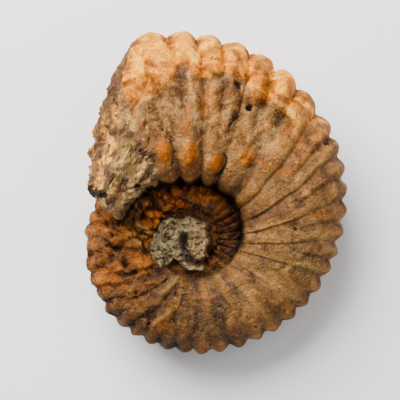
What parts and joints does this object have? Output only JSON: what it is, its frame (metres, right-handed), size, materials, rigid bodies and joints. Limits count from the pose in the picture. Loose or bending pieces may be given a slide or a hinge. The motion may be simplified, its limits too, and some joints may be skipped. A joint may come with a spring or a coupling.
{
  "type": "ammonite fossil",
  "caption": "Strongly ribbed ammonite fossil in ochre stone lying on one flank, with rubbly grey-green rock in its umbilicus and a broken outer end.",
  "frame": {"origin": "middle of the bounding box in X and Y, on the surface that the fossil lies on", "axes": "+Z up, away from the surface it lies on; +Y along the longest side, towards the wide last part of the coil; +X to the right when looking down with +Y up"},
  "size_m": [0.0652, 0.0794, 0.0379],
  "materials": {
    "ochre_stone": "matte, slightly waxy ochre-brown stone",
    "grey_green_rock": "rough granular grey-green rock"
  },
  "bodies": {
    "root": {"ammonite": "ochre_stone", "umbilicus_matrix": "grey_green_rock"}
  },
  "joints": []
}
